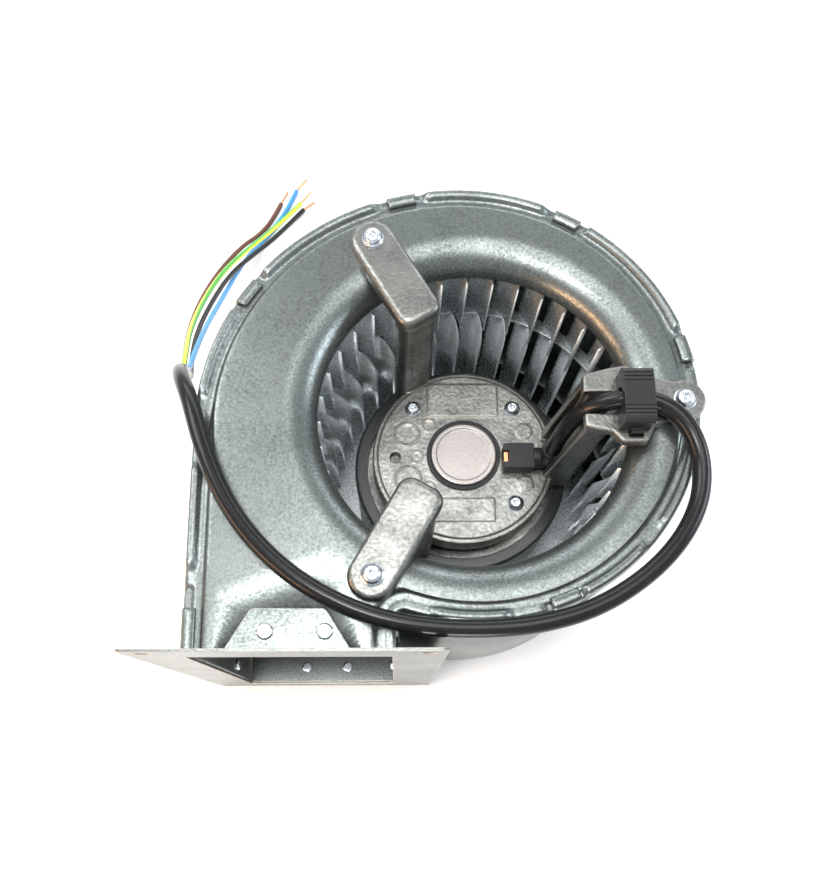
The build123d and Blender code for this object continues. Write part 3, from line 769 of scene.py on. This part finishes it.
def front_wall_sheet(built):
    rows = []
    for inset, height, bead_share in wall_profile:
        line = scroll_outline(inset)
        row = []
        for k, (x, y) in enumerate(line):
            follow = ease((inset - 2.7) / 4.1) if inset < 7.0 else 1 - ease((inset - 9.0) / 2.0)
            outer, inner = rim_line[k], step_outline[k]
            gap = math.dist(outer, inner)
            move = pushes[k] * follow / gap
            x, y = x + (outer[0] - inner[0]) * move, y + (outer[1] - inner[1]) * move
            least = bell_radius + 1.6 + (11.0 - inset) * 0.08
            if inset > 6.5 and math.hypot(x, y) < least:
                x, y = x * least / math.hypot(x, y), y * least / math.hypot(x, y)
            lift = bead_lift(x, y) * bead_share
            cut = tab_dip(*outer) * max(0.0, height + lift - 112.4) if inset < 3.0 else 0.0
            row.append(built.verts.new((x, y, height + lift - cut)))
        rows.append(row)
    skin(built, rows, False)
    profile = [(bell_radius + 1.5, 115.0), (bell_radius, 115.0)]
    for k in range(1, 15):
        angle = math.radians(90 + 90 * k / 14)
        profile.append(
            (bell_radius + 12.5 * math.cos(angle), 115.0 - bell_drop + bell_drop * math.sin(angle))
        )
    bell = lathe(built, profile, 288)
    ends = [rows[-1][0], rows[-1][-1]]
    outlet_edge = [ends[1]]
    for k in range(1, 20):
        place = ends[1].co.lerp(ends[0].co, k / 20)
        outlet_edge.append(built.verts.new(place))
    loop = rows[-1] + outlet_edge[1:]
    edges = []
    for line in (loop, bell[0]):
        for a, b in zip(line, line[1:] + line[:1]):
            edges.append(built.edges.get((a, b)) or built.edges.new((a, b)))
    bmesh.ops.triangle_fill(built, edges=edges, use_beauty=True)
    bmesh.ops.recalc_face_normals(built, faces=built.faces)
    if max(built.faces, key=lambda face: face.calc_area()).normal.z < 0:
        bmesh.ops.reverse_faces(built, faces=built.faces)


front_wall = make_piece("front_wall_pressing", front_wall_sheet, "galvanised_steel")
set_modifiers(front_wall, 0.9 * mm)
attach(front_wall, "housing")
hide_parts("scroll_front_wall")
print(front_wall.name, len(front_wall.data.polygons), "faces")

# %% [markdown]
# ## Band
# The band is one strip of sheet, bent round the scroll. Tabs on its front edge are folded over
# the front wall and hold it. The strip is skinned over the outline, and each tab is a short strip
# that follows the same outline and bends over the rim.

# %% The band and its tabs
tab_half = 6.0
tab_bend = [
    (-0.45, 108.0),
    (-0.45, 112.6),
    (-0.2, 113.5),
    (0.5, 114.1),
    (1.3, 114.25),
    (4.2, 114.15),
]


def strip(built, profile, first, last):
    """A sheet over the outline's points first to last; profile is its closed section."""
    lines = [scroll_outline(inset)[first:last] for inset, _ in profile]
    rows = []
    for line, (_, height) in zip(lines, profile):
        rows.append([built.verts.new((x, y, height)) for x, y in line])
    skin(built, rows + rows[:1], False)
    built.faces.new([row[0] for row in rows])
    built.faces.new([row[-1] for row in reversed(rows)])


def band_sheet(built):
    section = [(0.0, 0.5), (0.0, 112.3), (0.9, 112.3), (0.9, 0.5), (0.6, 0.0), (0.3, 0.0)]
    strip(built, section, 0, len(rim_line))
    for tab in tab_angles:
        inside = []
        for k, (x, y) in enumerate(rim_line):
            away = abs((math.degrees(math.atan2(y, x)) - tab + 180) % 360 - 180)
            if math.radians(away) * math.hypot(x, y) < tab_half:
                inside.append(k)
        under = [(inset + 0.2, height - 0.8) for inset, height in reversed(tab_bend[2:])]
        section = tab_bend + under + [(0.3, 112.4), (0.3, 108.0)]
        strip(built, section, inside[0], inside[-1] + 1)
    bmesh.ops.recalc_face_normals(built, faces=built.faces)


band = make_piece("scroll_band_strip", band_sheet, "galvanised_steel")
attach(band, "housing")
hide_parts("scroll_band")
print(band.name, len(band.data.polygons), "faces")

# %% [markdown]
# ## Repeats
# Blades, screws and nuts stand in circles round the axis. Copies made by a loop would each be a
# mesh of their own, and an Array modifier can't vary them. A Geometry Nodes tree sets one master
# round the axis, with the count, radius and height as its inputs, and ends as plain geometry.

# %% Tree: set a master round the axis
def node(tree, kind, links=(), **values):
    """A node with its inputs linked from sockets (by index or name) and its properties set."""
    made = tree.nodes.new(kind)
    for label, value in values.items():
        setattr(made, label, value)
    for label, source in links:
        if hasattr(source, "links") or isinstance(source, bpy.types.NodeSocket):
            tree.links.new(source, made.inputs[label])
        else:
            made.inputs[label].default_value = source
    return made


def set_round(tree, master, count, radius, first, height, drop, turn, material):
    """Instances of master on a circle, the first one lower by drop, each turned by turn more."""
    index = node(tree, "GeometryNodeInputIndex").outputs[0]
    step = math_node(tree, "DIVIDE", 2 * math.pi, count)
    angle = math_node(tree, "ADD", math_node(tree, "MULTIPLY", index, step), first)
    east = math_node(tree, "MULTIPLY", math_node(tree, "COSINE", angle, 0.0), radius)
    north = math_node(tree, "MULTIPLY", math_node(tree, "SINE", angle, 0.0), radius)
    lower = math_node(tree, "MULTIPLY", math_node(tree, "LESS_THAN", index, 0.5), drop)
    up = math_node(tree, "SUBTRACT", height, lower)
    place = node(tree, "ShaderNodeCombineXYZ", [(0, east), (1, north), (2, up)])
    spots = node(tree, "GeometryNodePoints", [("Count", count), ("Position", place.outputs[0])])
    turned = math_node(tree, "ADD", angle, math_node(tree, "MULTIPLY", index, turn))
    euler = node(tree, "ShaderNodeCombineXYZ", [(2, turned)])
    rotation = node(tree, "FunctionNodeEulerToRotation", [(0, euler.outputs[0])])
    copies = node(
        tree,
        "GeometryNodeInstanceOnPoints",
        [("Points", spots.outputs[0]), ("Instance", master), ("Rotation", rotation.outputs[0])],
    )
    real = node(tree, "GeometryNodeRealizeInstances", [(0, copies.outputs[0])])
    coat = [("Geometry", real.outputs[0]), ("Material", material)]
    dressed = node(tree, "GeometryNodeSetMaterial", coat)
    return dressed.outputs[0]


screw_tree, screw_in, screw_out = new_group(
    "GeometryNodeTree",
    "set_round_the_axis",
    [
        ("Master", "NodeSocketGeometry", None),
        ("Count", "NodeSocketInt", 3),
        ("Radius", "NodeSocketFloat", 0.03),
        ("First angle", "NodeSocketFloat", 0.0),
        ("Height", "NodeSocketFloat", 0.0),
        ("First lower by", "NodeSocketFloat", 0.0),
        ("Turn between", "NodeSocketFloat", 0.0),
        ("Finish", "NodeSocketMaterial", None),
    ],
    [("Geometry", "NodeSocketGeometry")],
)
ring_made = set_round(screw_tree, *(screw_in.outputs[k] for k in range(8)))
screw_tree.links.new(ring_made, screw_out.inputs[0])


def run_tree(piece, tree, values):
    """Adds the tree as a modifier, sets its inputs by identifier, and bakes the result."""
    modifier = piece.modifiers.new(tree.name, "NODES")
    modifier.node_group = tree
    for item in tree.interface.items_tree:
        if item.in_out == "INPUT" and item.name in values:
            modifier[item.identifier] = values[item.name]
    bake_modifiers(piece)
    tidy = bmesh.new()
    tidy.from_mesh(piece.data)
    bmesh.ops.recalc_face_normals(tidy, faces=tidy.faces)
    tidy.to_mesh(piece.data)
    tidy.free()
    return piece


print("tree:", screw_tree.name)

# %% Screws
def pan_head(head, height, rim, shank, length):
    """A builder for a pan-head screw with a six-lobe recess and a washer under its head."""
    deep = height * 0.5
    section = [(0.02, deep, 0), (0.30 * head, deep, 1), (0.42 * head, height * 0.97, 1)]
    section += [(0.47 * head, height, 0.5), (0.62 * head, height * 0.97, 0)]
    for k in range(1, 7):
        angle = math.radians(65 - 65 * k / 6)
        radius = head * (0.30 + 0.70 * math.cos(angle))
        section.append((radius, height * (0.35 + 0.68 * math.sin(angle)), 0))
    section += [(head, height * 0.24, 0), (rim * 0.97, height * 0.22, 0), (rim, height * 0.14, 0)]
    section += [(rim, 0.0, 0), (shank, 0.0, 0), (shank, -length, 0), (0.02, -length, 0)]

    def build(built):
        rows = []
        for radius, up, lobed in section:
            row = []
            for k in range(48):
                turn = 2 * math.pi * k / 48
                r = radius * (1 + 0.16 * lobed * math.cos(6 * turn))
                row.append(built.verts.new((r * math.cos(turn), r * math.sin(turn), up)))
            rows.append(row)
        skin(built, rows, True)
        built.faces.new(rows[0])
        built.faces.new(list(reversed(rows[-1])))
        bmesh.ops.recalc_face_normals(built, faces=built.faces)

    return build


bracket_screw = pan_head(head=3.3, height=2.5, rim=4.1, shank=2.0, length=10.0)
bracket_screw_set = make_piece("bracket_screw_set", bracket_screw, "zinc_fasteners")
run_tree(
    bracket_screw_set,
    screw_tree,
    {
        "Count": 3,
        "Radius": 73.5 * mm,
        "Height": 120.0 * mm,
        "First lower by": 2.0 * mm,
        "Turn between": 0.7,
        "Finish": finishes["zinc_fasteners"],
    },
)
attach(bracket_screw_set, "housing")
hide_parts("bracket_screws")
stator_screw = pan_head(head=2.7, height=2.0, rim=3.4, shank=1.75, length=8.0)
stator_screw_set = make_piece("stator_screw_set", stator_screw, "zinc_fasteners")
run_tree(
    stator_screw_set,
    screw_tree,
    {
        "Count": 4,
        "Radius": 30.0 * mm,
        "First angle": math.pi / 4,
        "Height": 69.0 * mm,
        "Turn between": 0.4,
        "Finish": finishes["zinc_fasteners"],
    },
)
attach(stator_screw_set, "housing")
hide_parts("stator_screws")
print("screws:", len(bracket_screw_set.data.polygons), len(stator_screw_set.data.polygons), "faces")

# %% [markdown]
# ## Blades
# Each blade is a strip with a curved section, and all 36 of a row are alike. The section is an arc
# through three points, which are the tree's inputs, drawn upwards into a sheet and thickened. On
# the rear row the front inner corner is cut away on a slant.

# %% Tree: one row of blades
blade_tree, blade_in, blade_out = new_group(
    "GeometryNodeTree",
    "blade_row",
    [
        ("Master", "NodeSocketGeometry", None),
        ("Root", "NodeSocketVector", None),
        ("Belly", "NodeSocketVector", None),
        ("Tip", "NodeSocketVector", None),
        ("Blade height", "NodeSocketFloat", 0.03),
        ("Thickness", "NodeSocketFloat", 0.0006),
        ("Cut radius", "NodeSocketFloat", 0.0),
        ("Count", "NodeSocketInt", 36),
        ("Finish", "NodeSocketMaterial", None),
    ],
    [("Geometry", "NodeSocketGeometry")],
)
inputs = blade_in.outputs
arc = node(
    blade_tree,
    "GeometryNodeCurveArc",
    [
        ("Resolution", 12),
        ("Start", inputs["Root"]),
        ("Middle", inputs["Belly"]),
        ("End", inputs["Tip"]),
    ],
    mode="POINTS",
)
section_line = node(blade_tree, "GeometryNodeCurveToMesh", [("Curve", arc.outputs[0])])
upwards = node(blade_tree, "ShaderNodeCombineXYZ", [(2, inputs["Blade height"])]).outputs[0]
drawn_up = node(
    blade_tree,
    "GeometryNodeExtrudeMesh",
    [("Mesh", section_line.outputs[0]), ("Offset", upwards)],
    mode="EDGES",
)
here = node(blade_tree, "GeometryNodeInputPosition").outputs[0]
level = [(0, here), (1, (1.0, 1.0, 0.0))]
flat = node(blade_tree, "ShaderNodeVectorMath", level, operation="MULTIPLY")
reached = node(blade_tree, "ShaderNodeVectorMath", [(0, flat.outputs[0])], operation="LENGTH")
away = reached.outputs["Value"]
short = math_node(blade_tree, "SUBTRACT", inputs["Cut radius"], away)
drop = math_node(blade_tree, "SUBTRACT", math_node(blade_tree, "MULTIPLY", short, 1.283), 0.001)
drop = math_node(blade_tree, "MAXIMUM", drop, 0.0)
downward = math_node(blade_tree, "MULTIPLY", drop, -1.0)
lowered = node(blade_tree, "ShaderNodeCombineXYZ", [(2, downward)])
cut_sheet = node(
    blade_tree,
    "GeometryNodeSetPosition",
    [
        ("Geometry", drawn_up.outputs["Mesh"]),
        ("Selection", drawn_up.outputs["Top"]),
        ("Offset", lowered.outputs[0]),
    ],
)
thick = node(
    blade_tree,
    "GeometryNodeExtrudeMesh",
    [("Mesh", cut_sheet.outputs[0]), ("Offset Scale", inputs["Thickness"]), ("Individual", False)],
    mode="FACES",
)
back = node(blade_tree, "GeometryNodeFlipFaces", [("Mesh", cut_sheet.outputs[0])])
joined = node(blade_tree, "GeometryNodeJoinGeometry")
blade_tree.links.new(thick.outputs["Mesh"], joined.inputs[0])
blade_tree.links.new(back.outputs[0], joined.inputs[0])
seam = [("Geometry", joined.outputs[0]), ("Distance", 0.00001)]
blade = node(blade_tree, "GeometryNodeMergeByDistance", seam)
row_made = set_round(
    blade_tree, blade.outputs[0], inputs["Count"], 0.0, 0.0, 0.0, 0.0, 0.0, inputs["Finish"]
)
blade_tree.links.new(row_made, blade_out.inputs[0])
print("tree:", blade_tree.name)

# %% The two rows of blades
blade_root, blade_tip, blade_sweep, blade_thickness = 57.0, 69.4, math.radians(9.0), 0.6


def blade_row(name, bottom, height, cut_radius, replaced):
    """A row of 36 blades that stands on bottom, in millimetres."""
    root = Vector((blade_root, 0.0, bottom))
    tip = Vector((blade_tip * math.cos(blade_sweep), blade_tip * math.sin(blade_sweep), bottom))
    chord = tip - root
    hollow = Vector((chord.y, -chord.x, 0.0)).normalized()
    belly = (root + tip) / 2 + hollow * 0.2 * chord.length
    row = bpy.data.objects.new(name, bpy.data.meshes.new(name))
    bpy.context.scene.collection.objects.link(row)
    values = {"Root": root * mm, "Belly": belly * mm, "Tip": tip * mm, "Blade height": height * mm}
    values |= {"Thickness": blade_thickness * mm, "Cut radius": cut_radius * mm, "Count": 36}
    # The blades take the galvanised sheet painted lighter, which stands in for light on them.
    values["Finish"] = finishes["wheel_sheet_painted_light"]
    run_tree(row, blade_tree, values)
    dress(row, "galvanised_steel", "wheel_sheet_painted_light")
    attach(row, "wheel")
    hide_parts(replaced)
    print(name, len(row.data.polygons), "faces")
    return row


blade_row("rear_blade_row", 8.0, 63.0, 66.0, "wheel_rear_blades")
blade_row("front_blade_row", 72.0, 30.0, 0.0, "wheel_front_blades")

# %% [markdown]
# ## Floor and light
# The fan lies on the flange's edge. A large plain floor carries its shadow. Bare metal shows the
# room more than its own colour, so the lamps are broad panels: one high on the left, a long one
# behind, and a low warm one on the right that draws the thin warm lines along the rolled edges.
# The finishes' warm edge colour also paints these warm lines on, as a painted highlight.

# %% Floor
floor_height = cad_box[0][2] - 0.0002
floor_mesh = bpy.data.meshes.new("pale_floor")
reach = 3.0
corners = [(-reach, -reach), (reach, -reach), (reach, reach), (-reach, reach)]
floor_mesh.from_pydata([(x, y, floor_height) for x, y in corners], [], [(0, 1, 2, 3)])
floor = bpy.data.objects.new("pale_floor", floor_mesh)
bpy.context.scene.collection.objects.link(floor)
floor_paint = bpy.data.materials.new("pale_floor")
floor_paint.use_nodes = True
floor_shader = floor_paint.node_tree.nodes["Principled BSDF"]
floor_shader.inputs["Base Color"].default_value = (0.92, 0.92, 0.92, 1.0)
floor_shader.inputs["Roughness"].default_value = 0.9
floor_mesh.materials.append(floor_paint)
floor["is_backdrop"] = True
print("floor at height", round(floor_height, 4))

# %% Lights
world = bpy.data.worlds.new("studio")
bpy.context.scene.world = world
world.use_nodes = True
world.node_tree.nodes["Background"].inputs["Color"].default_value = (0.86, 0.90, 0.92, 1.0)
world.node_tree.nodes["Background"].inputs["Strength"].default_value = 0.75


def lamp_panel(name, place, target, size, power, colour):
    """A flat studio lamp that faces a point."""
    lamp = bpy.data.lights.new(name, "AREA")
    lamp.shape = "RECTANGLE"
    lamp.size, lamp.size_y = size
    lamp.energy = power
    lamp.color = colour
    holder = bpy.data.objects.new(name, lamp)
    holder.location = place
    aim = Vector(target) - Vector(place)
    holder.rotation_euler = aim.to_track_quat("-Z", "Y").to_euler()
    bpy.context.scene.collection.objects.link(holder)
    return holder


lamp_panel("high_left", (-0.6, 0.4, 0.8), (0, 0, 0.05), (0.5, 0.5), 5.0, (1.0, 1.0, 1.0))
lamp_panel("long_back", (0.1, 0.9, 0.5), (0, 0, 0.05), (1.2, 0.3), 4.0, (0.95, 0.98, 1.0))
lamp_panel("overhead", (0.12, 0.12, 1.0), (0, 0, 0.05), (0.6, 0.4), 3.5, (1.0, 1.0, 0.99))
lamp_panel("into_wheel", (-0.14, -0.1, 0.75), (0, 0.02, 0.04), (0.16, 0.16), 2.6, (1.0, 1.0, 1.0))
lamp_panel("into_duct", (-0.02, -0.7, 0.12), (-0.03, 0, 0.05), (0.3, 0.1), 2.2, (1.0, 1.0, 1.0))
lamp_panel("right_cool", (0.8, 0.1, 0.45), (0, 0, 0.1), (0.4, 0.3), 3.0, (0.85, 0.92, 1.0))
lamp_panel("low_warm", (-0.6, -0.3, 0.28), (0, 0, 0.1), (0.6, 0.07), 3.0, (1.0, 0.55, 0.28))
bpy.context.scene.view_settings.view_transform = "Standard"

# %% Sizes
boxes = {"cad": cad_box, "visual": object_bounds()}
for name, box in boxes.items():
    print(name, "box:", [[round(v, 4) for v in corner] for corner in box])
